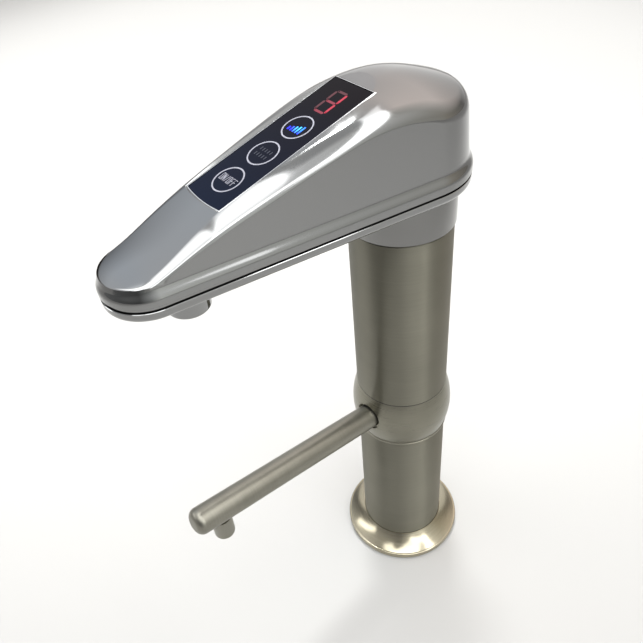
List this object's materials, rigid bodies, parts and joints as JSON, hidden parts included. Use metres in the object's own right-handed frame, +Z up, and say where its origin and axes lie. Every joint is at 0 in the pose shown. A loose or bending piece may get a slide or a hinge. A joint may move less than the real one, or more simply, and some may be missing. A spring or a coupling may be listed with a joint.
{
  "type": "water ionizer faucet",
  "caption": "Deck-mounted faucet with a round steel column, a swivelling side spout and a long teardrop head with a sloping touch panel and a water outlet below its nose.",
  "frame": {"origin": "on the deck, at the centre of the base, at the mouth of the threaded shank hole", "axes": "+Z up the column, -Y towards the nose of the head, +X across it"},
  "size_m": [0.0728, 0.1771, 0.3126],
  "materials": {
    "chrome": "polished",
    "brushed_steel": "brushed",
    "satin_steel": "satin",
    "polished_steel": "polished",
    "plain_steel": "plain",
    "brass": "machined",
    "black_rubber": "matte",
    "white_plastic": "matte",
    "black_glass": "glossy",
    "blue_lamp": "glossy",
    "red_display": "glossy",
    "green_board": "matte"
  },
  "bodies": {
    "pedestal": {"base_gasket": "black_rubber", "base_flange": "polished_steel", "mounting_insert": "brass", "lower_column": "brushed_steel", "upper_column": "brushed_steel", "swivel_core": "brass", "core_seals": "black_rubber", "ring_washers": "white_plastic", "column_socket": "brass", "riser_tube": "plain_steel", "feed_tube": "plain_steel", "column_bush": "white_plastic", "thrust_washer": "white_plastic", "stop_pin": "plain_steel"},
    "side_spout": {"spout_ring": "satin_steel", "side_tube": "satin_steel", "tip_nozzle": "satin_steel"},
    "head": {"neck_collar": "chrome", "spigot_clip": "plain_steel", "collar_screws": "plain_steel", "head_plate": "chrome", "head_seal": "black_rubber", "head_shell": "chrome", "plate_screws": "plain_steel", "touch_glass": "black_glass", "touch_rings": "white_plastic", "button_lamps": "blue_lamp", "digit_display": "red_display", "circuit_board": "green_board", "board_connector": "white_plastic", "board_screws": "plain_steel", "swivel_hub": "brass", "hub_seal": "black_rubber", "head_tube": "plain_steel", "outlet_nozzle": "chrome", "outlet_nut": "brass", "aerator": "white_plastic"}
  },
  "joints": [
    {"name": "head_swivel", "type": "hinge", "parent": "pedestal", "child": "head", "pos_m": [0, 0, 0.2409], "axis": [0, 0, 1], "range_deg": [-90, 90]},
    {"name": "side_spout_swivel", "type": "hinge", "parent": "pedestal", "child": "side_spout", "pos_m": [0, 0, 0.1189], "axis": [0, 0, 1], "continuous": true}
  ]
}
